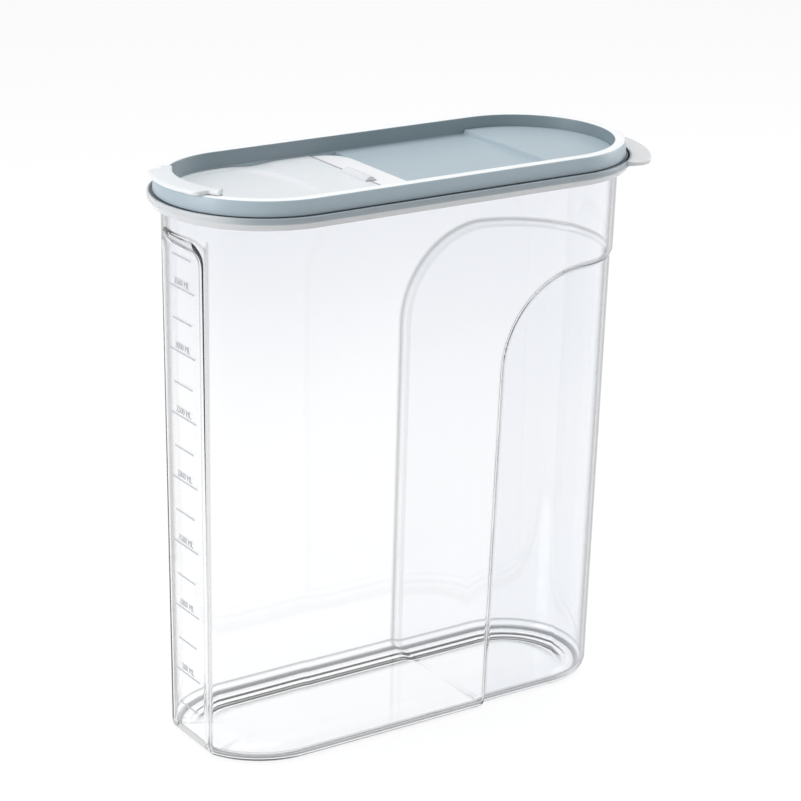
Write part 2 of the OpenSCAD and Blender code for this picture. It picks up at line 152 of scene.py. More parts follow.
def finishPiece(bm, name, body, nodes, material, sharp=35, bevel=None):
    bmesh.ops.recalc_face_normals(bm, faces=bm.faces[:])
    for edge in bm.edges:
        edge.smooth = len(edge.link_faces) == 2 and edge.calc_face_angle(0) < math.radians(sharp)
    for face in bm.faces:
        face.smooth = True
    toMetres(bm)
    piece = addObject(name, meshFrom(bm, name))
    piece.data.materials.append(material)
    if bevel:
        rounding = piece.modifiers.new("edgeRounding", "BEVEL")
        rounding.width = bevel * 0.001
        rounding.segments = 3
        rounding.limit_method = "ANGLE"
        rounding.angle_limit = math.radians(sharp)
        rounding.harden_normals = True
    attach(piece, body)
    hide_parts(*nodes)
    return piece


# Material helpers

class Value:
    def __init__(self, shader, socket):
        self.shader, self.socket = shader, socket

    def maths(self, operation, *others, flip=False):
        inputs = [self, *others]
        if flip:
            inputs.reverse()
        return self.shader.node("ShaderNodeMath", {"operation": operation}, dict(enumerate(inputs)))

    def __add__(self, other):
        return self.maths("ADD", other)

    def __sub__(self, other):
        return self.maths("SUBTRACT", other)

    def __rsub__(self, other):
        return self.maths("SUBTRACT", other, flip=True)

    def __mul__(self, other):
        return self.maths("MULTIPLY", other)

    __radd__ = __add__
    __rmul__ = __mul__


class Shader:
    def __init__(self, name):
        self.material = bpy.data.materials.new(name)
        self.material.use_nodes = True
        self.tree = self.material.node_tree
        self.surface = self.tree.nodes["Principled BSDF"]
        self.output = self.tree.nodes["Material Output"]

    def node(self, kind, settings=None, inputs=None, output=0):
        made = self.tree.nodes.new(kind)
        for key, setting in (settings or {}).items():
            setattr(made, key, setting)
        self.fill(made, inputs or {})
        return Value(self, made.outputs[output])

    def fill(self, node, inputs):
        for key, given in inputs.items():
            socket = node.inputs[key]
            if isinstance(given, Value):
                self.tree.links.new(given.socket, socket)
            elif socket.type == "RGBA":
                socket.default_value = (*given, 1)
            else:
                socket.default_value = given

    def place(self):
        return self.node("ShaderNodeTexCoord", output="Object")

    def across(self, axis):
        return self.node("ShaderNodeSeparateXYZ", inputs={0: self.place()}, output=axis)

    def height(self):
        return self.across("Z")

    def spread(self):
        # distance from the line between the two end centres
        beyond = ((self.across("X") - middleX).maths("ABSOLUTE") - endX * 0.001).maths("MAXIMUM", 0.0)
        return (beyond * beyond + self.across("Y") * self.across("Y")).maths("SQRT")

    def noise(self, scale, detail=3.0):
        return self.node("ShaderNodeTexNoise",
                         inputs={"Vector": self.place(), "Scale": scale, "Detail": detail})

    def blend(self, factor, first, second):
        return self.node("ShaderNodeMix", {"data_type": "RGBA"}, {0: factor, 6: first, 7: second}, output=2)

    def rise(self, value, low, high):
        return self.node("ShaderNodeMapRange", {"interpolation_type": "SMOOTHSTEP"},
                         {"Value": value, "From Min": low, "From Max": high})

    def bump(self, height, strength, distance):
        return self.node("ShaderNodeBump",
                         inputs={"Height": height, "Strength": strength, "Distance": distance})

    def lit(self):
        return Value(self, self.surface.outputs[0])

    def mixSurface(self, factor, first, second):
        return self.node("ShaderNodeMixShader", inputs={0: factor, 1: first, 2: second})

    def show(self, surface):
        self.tree.links.new(surface.socket, self.output.inputs["Surface"])

    def set(self, **inputs):
        self.fill(self.surface, {key.replace("_", " "): given for key, given in inputs.items()})


# Materials, with heights and distances in metres

# the clear plastic's grey towards the lid, its dark arris lines and its dark edge-on walls are painted shade
clearLook = {
    "colour": (0.985, 0.988, 0.992), "shade": (0.90, 0.912, 0.935), "edge": (0.035, 0.042, 0.052),
    "roughness": 0.02, "ior": 1.5, "specular": 0.3, "flow": 14.0, "flowBump": 0.04, "flowDepth": 0.001,
    "lidShadeGrey": 0.95, "lidShadeRise": (0.13, 0.254), "gripGrey": 0.8, "flowGrey": 0.3,
    "arrisShade": 0.58, "arrisShadeLimit": 0.94, "rim": 0.95, "rimRise": (0.6, 0.86), "passing": (0.93, 0.94, 0.95),
}
moulded = {
    "cloud": 60.0, "darker": 0.95, "gloss": 0.08, "grain": 2600.0, "grainBump": 0.12, "grainDepth": 0.0001,
    "ior": 1.5,
}
# the lid's rim takes a painted highlight on its top land and painted shade on its inner wall
lidLook = {
    "colour": (0.40, 0.485, 0.54), "wall": (0.21, 0.265, 0.295), "crestHighlight": (0.86, 0.88, 0.89),
    "roughness": 0.32, "wallShadeIn": (0.0412, 0.0417), "wallShadeOut": (0.0426, 0.0430), "wallShadeRise": (0.2571, 0.2580),
    "crestHighlightRise": (0.26465, 0.26495),
}
# the leaf's fold takes a painted shade in its groove
leafLook = {
    "colour": (0.84, 0.85, 0.87), "film": (0.42, 0.43, 0.46), "roughness": 0.32,
    "filmFrom": 0.0200, "filmTo": 0.0195,
}
flapLook = {
    "flap": (0.74, 0.77, 0.795), "strap": (0.70, 0.715, 0.74), "roughness": 0.3,
    "depth": {"Subsurface_Weight": 0.1, "Subsurface_Scale": 0.002},
}
# the seal's flange takes a painted shade and the land under the band a painted shadow
sealLook = {
    "colour": (0.88, 0.89, 0.905), "flange": (0.46, 0.53, 0.57), "grooveShadow": (0.035, 0.055, 0.07),
    "cloud": 50.0, "darker": 0.96, "roughness": 0.22, "gloss": 0.06, "ior": 1.4, "through": 0.35,
    "cloudBump": 0.05, "cloudDepth": 0.0005, "ringOut": (0.0499, 0.0503), "flangeRise": (0.2549, 0.2556),
    "leftEnd": (-0.118, -0.100), "leftEndLight": 0.75,
    "grooveShadowRise": (0.2573, 0.2577), "grooveShadowOut": (0.0486, 0.0493),
}
markLook = {"colour": (0.46, 0.47, 0.50), "lighter": 1.15, "grain": 900.0, "roughness": 0.55}


def clearPlastic():
    shader = Shader("clearPlastic")
    d = clearLook
    flow = shader.noise(d["flow"], 2.0)
    # a faint painted shade of the lid towards the top, a grey in the grip, and a painted dark edge where the
    # wall is seen along its length
    haze = shader.node("ShaderNodeAttribute", {"attribute_name": "haze"}, output="Fac")
    shade = d["lidShadeGrey"] * shader.rise(shader.height(), *d["lidShadeRise"])
    shade = shade + d["gripGrey"] * haze + d["flowGrey"] * (flow - 0.5)
    body = shader.blend(shade, d["colour"], d["shade"])
    # painted shade: dark lines along the arrises, where the plastic's edge looks dark
    arrisShade = shader.node("ShaderNodeAttribute", {"attribute_name": "arrisShade"}, output="Fac")
    arrisShaded = shader.blend((arrisShade * d["arrisShade"]).maths("MINIMUM", d["arrisShadeLimit"]), body, d["edge"])
    # painted shade: the wall turns dark where it is seen edge-on
    facing = shader.node("ShaderNodeLayerWeight", inputs={"Blend": 0.5}, output="Facing")
    rim = shader.rise(facing, *d["rimRise"]) * d["rim"]
    shader.set(Base_Color=shader.blend(rim, arrisShaded, d["edge"]), Roughness=d["roughness"], IOR=d["ior"],
               Transmission_Weight=1.0, Specular_IOR_Level=d["specular"],
               Normal=shader.bump(flow, d["flowBump"], d["flowDepth"]))
    # light reaches the inside through the wall instead of stopping in its shadow
    passing = shader.node("ShaderNodeBsdfTransparent", inputs={"Color": d["passing"]})
    shadowRay = shader.node("ShaderNodeLightPath", output="Is Shadow Ray")
    shader.show(shader.mixSurface(shadowRay, shader.lit(), passing))
    return shader.material


def mouldedPlastic(name, colour, roughness, paintLight=None, **more):
    # slightly cloudy colour and gloss with a fine grain; an optional step paints highlight or shade into the
    # colour in places
    shader = Shader(name)
    d = moulded
    cloud = shader.noise(d["cloud"])
    grain = shader.noise(d["grain"], 2.0)
    cloudy = shader.blend(cloud, tuple(part * d["darker"] for part in colour), colour)
    shader.set(Base_Color=paintLight(shader, cloudy) if paintLight else cloudy,
               Roughness=roughness + d["gloss"] * (cloud - 0.5),
               Normal=shader.bump(grain, d["grainBump"], d["grainDepth"]), IOR=d["ior"], **more)
    return shader.material


def lidHighlightAndShade(shader, colour):
    # a painted highlight on the rim's top land, where it catches the light, and painted shade on its inner
    # wall
    d = lidLook
    height = shader.height()
    spread = shader.spread()
    wall = shader.rise(spread, *d["wallShadeIn"]) * (1 - shader.rise(spread, *d["wallShadeOut"]))
    wall = wall * shader.rise(height, *d["wallShadeRise"])
    crestHighlight = shader.rise(height, *d["crestHighlightRise"])
    return shader.blend(crestHighlight, shader.blend(wall, colour, d["wall"]), d["crestHighlight"])


def leafFoldShade(shader, colour):
    # painted shade in the groove at the fold, greyer than the leaf
    d = leafLook
    film = 1 - shader.rise(shader.across("X"), middleX - d["filmFrom"], middleX - d["filmTo"])
    return shader.blend(film, colour, d["film"])


def sealPlastic():
    # milky silicone with painted light: a painted blue-grey shade on the flange stands in for the lid showing
    # through, painted lighter at the left end, and a painted shadow lies on the land under the band
    shader = Shader("milkySeal")
    d = sealLook
    cloud = shader.noise(d["cloud"])
    height = shader.height()
    ring = 1 - shader.rise(shader.spread(), *d["ringOut"])
    leftEnd = 1 - shader.rise(shader.across("X"), *d["leftEnd"])
    # painted shade on the flange, faded towards the painted lighter left end
    flange = ring * shader.rise(height, *d["flangeRise"]) * (1 - d["leftEndLight"] * leftEnd)
    # painted shadow on the land under the band
    grooveShadow = ring * shader.rise(height, *d["grooveShadowRise"])
    grooveShadow = grooveShadow * (1 - shader.rise(shader.spread(), *d["grooveShadowOut"]))
    milky = shader.blend(cloud, d["colour"], tuple(part * d["darker"] for part in d["colour"]))
    colour = shader.blend(grooveShadow, shader.blend(flange, milky, d["flange"]), d["grooveShadow"])
    shader.set(Base_Color=colour, Roughness=d["roughness"] + d["gloss"] * cloud, IOR=d["ior"],
               Transmission_Weight=d["through"], Normal=shader.bump(cloud, d["cloudBump"], d["cloudDepth"]))
    return shader.material


def markInk():
    shader = Shader("markRelief")
    d = markLook
    lighter = tuple(part * d["lighter"] for part in d["colour"])
    colour = shader.blend(shader.noise(d["grain"]), d["colour"], lighter)
    shader.set(Base_Color=colour, Roughness=d["roughness"])
    return shader.material


clearMaterial = clearPlastic()
lidMaterial = mouldedPlastic("blueGreyPlastic", lidLook["colour"], lidLook["roughness"], lidHighlightAndShade)
leafMaterial = mouldedPlastic("leafPlastic", leafLook["colour"], leafLook["roughness"], leafFoldShade)
flapMaterial = mouldedPlastic("flapPlastic", flapLook["flap"], flapLook["roughness"], **flapLook["depth"])
strapMaterial = mouldedPlastic("strapPlastic", flapLook["strap"], flapLook["roughness"], **flapLook["depth"])
sealMaterial = sealPlastic()
markMaterial = markInk()
print("materials made")


# Container

container = {
    "neckZ": 252.4, "bodyR": 43.9, "draft": 0.0137, "wall": 1.8, "floor": 2.2,
    "bottomEdge": 5.0, "recess": 0.6, "foot": 4.0, "footSlope": 1, "floorStop": 6.0,
    "outerRows": (5.1, 5.6, 6.2), "innerRows": (6.7, 6.1, 5.6), "plainFrom": 8.0, "plainRows": 10,
    "collarOut": 45.1, "collarIn": 43.7, "collarTop": 262.5, "shelf": 1.4,
    "collarRound": 0.5, "collarFillet": 0.3,
    "denseFrom": 164.0, "denseTo": 250.0, "denseStep": 0.85, "denseX": 26.0, "neckGap": 0.5,
    "axisGap": 1, "sinkFrom": 8, "sinkBefore": 0.5,
    "panelDepth": 4.5, "panelLean": 0.0112, "panelTopGap": 10.3, "panelCorner": 10.5,
    "panelEdge": 0.4, "archSlope": 6.5,
    "gripFrom": 20, "gripX": 31.4, "gripLean": 0.0165, "gripTop": 213.9, "gripR": 46.0, "gripSlope": 3.0,
    "gripDepth": 3.0, "gripEndDepth": 0.6,
}
# strength and width of the painted shade lines along the clear body's arrises
arrisShadeLines = {
    "baseTop": 7, "footTop": 1.2, "foot": 1.6, "footMargin": 0.3, "roundHalf": 0.5, "floorHalf": 0.6,
    "gripAt": 0.3, "gripHalf": 1.2, "slope": 0.45, "slopeHalf": 1.0,
    "sideHalf": 0.45, "topFade": 0.5, "archAt": 0.2, "archHalf": 1.0, "archFade": 0.6,
}


def wallRadius(z):
    return container["bodyR"] - container["draft"] * (container["neckZ"] - z)


def panelX(z):
    c = container
    return -(endX + c["bodyR"] - c["panelDepth"] - c["panelLean"] * (c["neckZ"] - z))


def wallRows(inset):
    # heights of the wall's rows: a few on the plain part, many where the arches run
    c = container
    low = c["plainFrom"]
    rows = [low + (c["denseFrom"] - low) * part / c["plainRows"] for part in range(1, c["plainRows"])]
    count = int((c["denseTo"] - c["denseFrom"]) / c["denseStep"])
    rows += [c["denseFrom"] + c["denseStep"] * part for part in range(count + 1)]
    return [(wallRadius(z) - inset, z, 0) for z in rows if z < c["neckZ"] - c["neckGap"]]


def containerProfile():
    c = container
    baseR = wallRadius(0)
    footIn = baseR - c["bottomEdge"] - c["foot"]
    outer = [(0, c["recess"], 0), (footIn / 2, c["recess"], 0), (footIn - c["footSlope"], c["recess"], 0),
             (footIn, 0, 0), (baseR, 0, c["bottomEdge"])]
    outer += [(wallRadius(z), z, 0) for z in c["outerRows"]] + wallRows(0)
    shelfZ = c["neckZ"] + c["shelf"]
    collar = [(c["bodyR"], c["neckZ"], 0), (c["collarOut"], c["neckZ"], c["collarFillet"]),
              (c["collarOut"], c["collarTop"], c["collarRound"]),
              (c["collarIn"], c["collarTop"], c["collarRound"]), (c["collarIn"], shelfZ, c["collarFillet"]),
              (c["bodyR"] - c["wall"], shelfZ, c["collarRound"])]
    inner = list(reversed(wallRows(c["wall"])))
    inner += [(wallRadius(z) - c["wall"], z, 0) for z in c["innerRows"]]
    inner += [(baseR - c["wall"], c["floor"], c["bottomEdge"] - c["wall"]),
              (baseR - c["floorStop"], c["floor"], 0), (baseR / 2, c["floor"], 0), (0, c["floor"], 0)]
    return outer + collar + inner


def gripInside(along, z):
    # distance inside the outline of the grip, measured in the wall
    c = container
    centre = c["gripX"] + c["gripR"]
    centreZ = c["gripTop"] - c["gripR"]
    if along < centre and z > centreZ:
        return c["gripR"] - math.hypot(along - centre, z - centreZ)
    step = c["gripX"] - c["gripLean"] * max(centreZ - z, 0)
    return min(along - step, c["gripTop"] - z) if z > centreZ else along - step


def lineAt(distance, middle, half):
    return blendStep(half - abs(distance - middle), 0, half)


def baseLine(spread, z):
    # the painted shade lines round the base: foot, tops of both roundings and the floor's edge
    c, a = container, arrisShadeLines
    roundR = wallRadius(0) - c["bottomEdge"]
    if z < a["footTop"]:
        return a["foot"] if spread > roundR - a["footMargin"] else 0.0
    if spread > wallRadius(z) - c["wall"] / 2:
        return lineAt(z, c["outerRows"][0], a["roundHalf"])
    if abs(z - c["floor"]) < 0.05:
        return lineAt(spread, roundR, a["floorHalf"])
    return lineAt(z, c["innerRows"][-1], a["roundHalf"])


def shapeWall(vert, arrisShade, haze):
    # sinks the grip and flattens the scale panel, on the outer and the inner wall alike,
    # and marks their arrises for painted shade lines, where the plastic's edge shows dark
    c, a = container, arrisShadeLines
    x, y, z = vert.co
    radius = wallRadius(min(z, c["neckZ"]))
    beyond = abs(x) - endX
    spread = math.hypot(beyond, y) if beyond > 0 else abs(y)
    onCollar = z > c["neckZ"] + 0.01 and spread > c["bodyR"] - c["wall"] + 0.05
    if onCollar or spread < c["axisGap"]:
        return
    share = blendStep(spread, c["sinkFrom"], radius - c["wall"] - c["sinkBefore"])
    base = baseLine(spread, z) if z < a["baseTop"] else 0.0
    vert[arrisShade] = base
    if x > c["gripFrom"]:
        angle = math.atan2(max(beyond, 0), abs(y))
        along = x if beyond <= 0 else endX + radius * angle
        depth = c["gripDepth"] - (c["gripDepth"] - c["gripEndDepth"]) * math.sin(angle)
        inside = gripInside(along, z)
        sunk = blendStep(inside, 0, c["gripSlope"])
        push = share * depth * sunk
        vert[haze] = share * sunk
        upperLine = lineAt(inside, a["gripAt"], a["gripHalf"])
        lowerLine = a["slope"] * lineAt(inside, c["gripSlope"], a["slopeHalf"])
        vert[arrisShade] = max(base, share * max(upperLine, lowerLine))
        if beyond <= 0:
            vert.co.y = y - push if y >= 0 else y + push
        else:
            scale = (spread - push) / spread
            vert.co.x, vert.co.y = endX + beyond * scale, y * scale
    elif x < -endX:
        inset = max(radius - spread, 0)
        wallInset = min(inset, c["wall"])
        reach = math.sqrt(c["bodyR"] ** 2 - (c["bodyR"] - c["panelDepth"]) ** 2) + wallInset
        corner = c["panelCorner"] + wallInset
        below = c["neckZ"] - c["panelTopGap"] + wallInset - z
        pastSide = max(abs(y) - (reach - corner), 0)
        pastTop = max(corner - below, 0)
        inside = min(reach - abs(y), below)
        if pastSide and pastTop:
            inside = corner - math.hypot(pastSide, pastTop)
        past = -x - (-panelX(z) - inset)
        push = softPositive(past, c["panelEdge"]) * blendStep(inside, 0, c["archSlope"])
        sideLine = lineAt(past, 0, a["sideHalf"]) * blendStep(below, -a["topFade"], a["topFade"])
        archLine = lineAt(inside, a["archAt"], a["archHalf"]) * blendStep(past, 0, a["archFade"])
        vert[arrisShade] = max(base, share * max(sideLine, archLine))
        vert.co.x = x + push * share


def makeContainer():
    bm = bmesh.new()
    drawProfile(bm, containerProfile())
    dense = container["denseX"]
    sweepRound(bm, [
        line(dense, 4), line(endX - dense, 58), turn(endX, 180, 76), line(dense - endX, 58),
        line(-dense - endX, 9), turn(-endX, 60, 15), turn(-endX, 60, 76), turn(-endX, 60, 15), line(endX, 6),
    ])
    arrisShade = bm.verts.layers.float.new("arrisShade")
    haze = bm.verts.layers.float.new("haze")
    for vert in bm.verts:
        shapeWall(vert, arrisShade, haze)
    return finishPiece(bm, "containerShell", "container", ["container_body"], clearMaterial,
                       sharp=50)


shell = makeContainer()
print("container made:", len(shell.data.polygons), "faces")


# Graduations

marks = {
    "firstZ": 17.9, "pitch": 16.15, "shrink": 0.13, "count": 15, "long": 21.6, "short": 16.0,
    "shift": 1.5, "line": 0.7, "proud": 0.25,
    "numbers": 7, "volume": 500, "letter": 4.3, "squeeze": 0.86, "lift": 1.3, "letterDepth": 0.4,
}


def markHeight(index):
    return marks["firstZ"] + index * marks["pitch"] - marks["shrink"] * index * (index - 1) / 2


def makeBars():
    bm = bmesh.new()
    for index in range(marks["count"]):
        z = markHeight(index)
        length = marks["long"] if index % 2 else marks["short"]
        made = bmesh.ops.create_cube(bm, size=1.0)
        bmesh.ops.scale(bm, vec=(marks["proud"], length, marks["line"]), verts=made["verts"])
        bmesh.ops.translate(bm, vec=(panelX(z) - marks["proud"] / 2, marks["shift"], z), verts=made["verts"])
    finishPiece(bm, "graduationBars", "container", ["container_body"], markMaterial)


def makeNumber(index):
    # one number over each long bar, read from outside the spout end
    z = markHeight(2 * index + 1) + marks["lift"]
    half = marks["proud"] * marks["letterDepth"]
    curve = bpy.data.curves.new("numberCurve", "FONT")
    curve.body = f"{marks['volume'] * (index + 1)} ML"
    curve.size = marks["letter"]
    curve.align_x = "CENTER"
    curve.extrude = half
    curve.resolution_u = 4
    carrier = addObject("numberCarrier", curve)
    bpy.context.view_layer.update()
    mesh = bpy.data.meshes.new_from_object(carrier)
    bpy.data.objects.remove(carrier)
    bm = bmesh.new()
    bm.from_mesh(mesh)
    bmesh.ops.remove_doubles(bm, verts=bm.verts, dist=0.0005)
    bmesh.ops.scale(bm, vec=(marks["squeeze"], 1, 1), verts=bm.verts)
    turned = Matrix(((0, 0, -1, panelX(z) - half), (-1, 0, 0, marks["shift"]), (0, 1, 0, z), (0, 0, 0, 1)))
    bmesh.ops.transform(bm, matrix=turned, verts=bm.verts)
    name = f"graduationNumber{index + 1}"
    finishPiece(bm, name, "container", ["container_body"], markMaterial)


makeBars()
for number in range(marks["numbers"]):
    makeNumber(number)
print("graduations made")


# Lid frame

lid = {
    "rimInR": 41.9, "rimOutWallR": 43.4, "bandInR": 46.2, "bandOutR": 47.4, "bandTaper": 0.6,
    "bandBottom": 258.0, "channelTop": 263.5, "skirtBottom": 254.0, "edge": 0.7, "deckOverlap": 0.2,
    "deckZ": 257.0, "seatZ": 255.5, "rearZ": 259.2, "rearX": 65.0, "riser": 1.1, "thick": 1.5,
    "leafEndX": 6.2, "wellX": 20.2, "wellZ": 257.1, "wellR": 3.7, "wellLength": 20.8, "wellWall": 0.8,
}
mouth = {
    "rearX": 30.0, "frontX": 104.0, "halfW": 35.5, "rearR": 9.0, "frontR": 34.0,
    "wallH": 2.0, "wallOverlap": 0.5, "cutBelow": 6, "cutHeight": 6.3,
}


def makeRim():
    d = lid
    bm = bmesh.new()
    drawProfile(bm, [
        (d["rimInR"], rimTop, d["edge"]),
        (d["bandOutR"] - d["bandTaper"], rimTop, d["edge"]),
        (d["bandOutR"], d["bandBottom"], 0.25),
        (d["bandInR"], d["bandBottom"], 0.1),
        (d["bandInR"], d["channelTop"], 0.3),
        (d["rimOutWallR"], d["channelTop"], 0.3),
        (d["rimOutWallR"], d["skirtBottom"], 0.2),
        (d["rimInR"] - d["deckOverlap"], d["skirtBottom"], 0.2),
    ], closed=True)
    sweepRound(bm, plainLoop(12, 72))
    finishPiece(bm, "lidRim", "lid", ["lid_frame"], lidMaterial, sharp=50)


def deckHeight(x):
    d = lid
    if x > d["rearX"]:
        return d["deckZ"] + (d["rearZ"] - d["deckZ"]) * blendStep(x, d["rearX"], d["rearX"] + d["riser"])
    return d["deckZ"] if x > -d["leafEndX"] + 0.1 else d["seatZ"]


def plateHalfWidth(x, radius):
    past = max(abs(x) - endX, 0)
    return math.sqrt(max(radius * radius - past * past, 0))


def deckColumns():
    # places across the deck, doubled closely at each step
    d = lid
    reach = endX + d["rimInR"] + d["deckOverlap"]
    places = [-reach, -reach + 0.15, -reach + 0.5, -reach + 1.3, -reach + 2.6, -106, -102, -98, -93, -87, -80]
    places += [-70, -60, -50, -40, -30, -20, -12]
    places += [-d["leafEndX"] - 0.1, -d["leafEndX"] + 0.15, 0, 15, 30, 45, 58, d["rearX"]]
    places += [d["rearX"] + d["riser"] * part / 5 for part in range(1, 6)]
    places += [70, 78, 86, 93, 99, 103.5, 107, 109.5, 111, reach - 0.5, reach - 0.15, reach]
    return places


def makeDeck():
    d = lid
    places = deckColumns()
    rows = 24
    reach = d["rimInR"] + d["deckOverlap"]

    def place(u, v, upper):
        x = places[round(u * (len(places) - 1))]
        half = plateHalfWidth(x, reach)
        return Vector((x, (2 * v - 1) * half, deckHeight(x) - (0 if upper else d["thick"])))

    bm = bmesh.new()
    mappedSlab(bm, len(places) - 1, rows, place)
    deck = finishPiece(bm, "lidDeck", "lid", ["lid_frame"], lidMaterial, sharp=40)
    cutWith(deck, mouthShape())
    cutWith(deck, wellShape())


def roundedPlateFace(bm, margin, z):
    # the mouth's outline as one face
    m = mouth
    corners = [(-m["frontX"] - margin, 1, m["frontR"]), (-m["rearX"] + margin, 1, m["rearR"]),
               (-m["rearX"] + margin, -1, m["rearR"]), (-m["frontX"] - margin, -1, m["frontR"])]
    verts = [bm.verts.new((x, side * (m["halfW"] + margin), z)) for x, side, radius in corners]
    bm.faces.new(verts)
    for radius in (m["frontR"], m["rearR"]):
        picked = [vert for vert, corner in zip(verts, corners) if corner[2] == radius]
        bmesh.ops.bevel(bm, geom=picked, offset=radius + margin, segments=12, profile=0.5, affect="VERTICES",
                        material=-1)
    return bm.faces[:]


def cutWith(piece, bm):
    # takes one closed shape out of a finished piece
    bmesh.ops.recalc_face_normals(bm, faces=bm.faces[:])
    toMetres(bm)
    cutter = addObject("cutter", meshFrom(bm, "cutter"))
    cut = piece.modifiers.new("cut", "BOOLEAN")
    cut.operation = "DIFFERENCE"
    cut.object = cutter
    cut.solver = "EXACT"
    bpy.context.view_layer.update()
    done = bpy.data.meshes.new_from_object(piece.evaluated_get(bpy.context.evaluated_depsgraph_get()))
    piece.modifiers.clear()
    piece.data = done
    bpy.data.objects.remove(cutter)


def mouthShape():
    bm = bmesh.new()
    faces = roundedPlateFace(bm, 0, lid["seatZ"] - mouth["cutBelow"])
    raised = bmesh.ops.extrude_face_region(bm, geom=faces)
    shiftRaised(bm, raised, (0, 0, mouth["cutHeight"]))
    return bm


def wellShape():
    # the room that the strap sweeps when it turns
    d = lid
    bm = bmesh.new()
    bmesh.ops.create_cone(bm, cap_ends=True, segments=48, radius1=d["wellR"], radius2=d["wellR"],
                          depth=d["wellLength"])
    bmesh.ops.rotate(bm, cent=(0, 0, 0), matrix=Matrix.Rotation(math.radians(90), 3, "X"), verts=bm.verts)
    bmesh.ops.translate(bm, vec=(-d["wellX"], 0, d["wellZ"]), verts=bm.verts)
    return bm


def makeWell():
    # a shallow trough under the seat
    d = lid
    bm = bmesh.new()
    high = d["seatZ"] - d["thick"] + d["deckOverlap"]
    low = d["wellZ"] - d["wellR"] - d["wellWall"]
    size = (2 * (d["wellR"] + d["wellWall"]), d["wellLength"] + 2 * d["wellWall"], high - low)
    bmesh.ops.create_cube(bm, size=1.0)
    bmesh.ops.scale(bm, vec=size, verts=bm.verts)
    bmesh.ops.translate(bm, vec=(-d["wellX"], 0, (high + low) / 2), verts=bm.verts)
    bmesh.ops.bevel(bm, geom=bm.edges[:], offset=0.3, segments=2, profile=0.5, affect="EDGES", material=-1)
    trough = finishPiece(bm, "strapWell", "lid", ["lid_frame"], lidMaterial, sharp=40)
    cutWith(trough, wellShape())


def raiseOutline(bm, margin, thickness, low, high):
    # a closed wall that follows the mouth's outline
    faces = roundedPlateFace(bm, margin, low)
    bmesh.ops.inset_region(bm, faces=faces, thickness=thickness, use_even_offset=True)
    hole = max(bm.faces, key=lambda face: face.calc_area())
    bmesh.ops.delete(bm, geom=[hole], context="FACES_ONLY")
    raised = bmesh.ops.extrude_face_region(bm, geom=bm.faces[:] + bm.edges[:], use_keep_orig=True)
    shiftRaised(bm, raised, (0, 0, high - low))


def makeMouthWall():
    bm = bmesh.new()
    low = lid["seatZ"] - lid["thick"] - mouth["wallH"]
    raiseOutline(bm, lid["thick"], lid["thick"], low, low + mouth["wallH"] + mouth["wallOverlap"])
    finishPiece(bm, "mouthWall", "lid", ["lid_frame"], lidMaterial, sharp=50)


makeRim()
makeDeck()
makeMouthWall()
makeWell()
print("lid made")


# Seal ring with its pull tab

seal = {
    "inR": 45.4, "outR": 46.1, "flangeR": 49.9, "topZ": 257.9, "lowZ": 255.2, "taperZ": 252.1, "taperW": 2.1,
    "lipInR": 43.7, "lipTop": 263.5, "lipLow": 262.8,
    "tabR": 58.8, "tabHalf": 42.7, "tabRoot": 49.0, "tabIn": 48.3, "tabThick": 2.2, "tabThinner": 0.35,
    "tabThinW": 3, "tabReach": 0.985,
}


def makeSealRing():
    d = seal
    bm = bmesh.new()
    drawProfile(bm, [
        (d["lipInR"], d["lipTop"], 0.1), (d["outR"], d["lipTop"], 0.3), (d["outR"], d["topZ"], 0),
        (d["flangeR"], d["topZ"], 0.7), (d["flangeR"], d["lowZ"], 0.35),
        (d["flangeR"] - d["taperW"], d["taperZ"], 0.4), (d["inR"], d["taperZ"], 0.2),
        (d["inR"], d["lipLow"], 0.1), (d["lipInR"], d["lipLow"], 0.1),
    ], closed=True)
    sweepRound(bm, plainLoop(12, 72))
    finishPiece(bm, "sealRing", "lid", ["lid_seal"], sealMaterial, sharp=50)


def makePullTab():
    d = seal
    corner = d["tabR"] - d["tabRoot"]
    reach = d["tabHalf"] + math.degrees(math.asin(corner / d["tabRoot"])) * d["tabReach"]

    def edgeRadius(angle):
        # a crescent: the full radius in the middle and a round corner at each end
        past = max(abs(angle) - d["tabHalf"], 0)
        if past == 0:
            return d["tabR"]
        swing = math.radians(past)
        across = d["tabRoot"] * math.sin(swing)
        return d["tabRoot"] * math.cos(swing) + math.sqrt(max(corner ** 2 - across ** 2, 0))

    def place(u, v, upper):
        angle = (2 * u - 1) * reach
        turned = math.radians(angle)
        edge = edgeRadius(angle)
        radius = d["tabIn"] + (edge - d["tabIn"]) * v
        thin = blendStep(radius, d["flangeR"], d["flangeR"] + d["tabThinW"]) * d["tabThinner"]
        z = d["topZ"] - thin if upper else d["topZ"] - d["tabThick"] + thin
        return Vector((endX + radius * math.cos(turned), radius * math.sin(turned), z))

    bm = bmesh.new()
    mappedSlab(bm, 72, 8, place)
    finishPiece(bm, "pullTab", "lid", ["lid_seal"], sealMaterial, sharp=50, bevel=0.7)


makeSealRing()
makePullTab()
print("seal made")


# Flap, leaf and strap

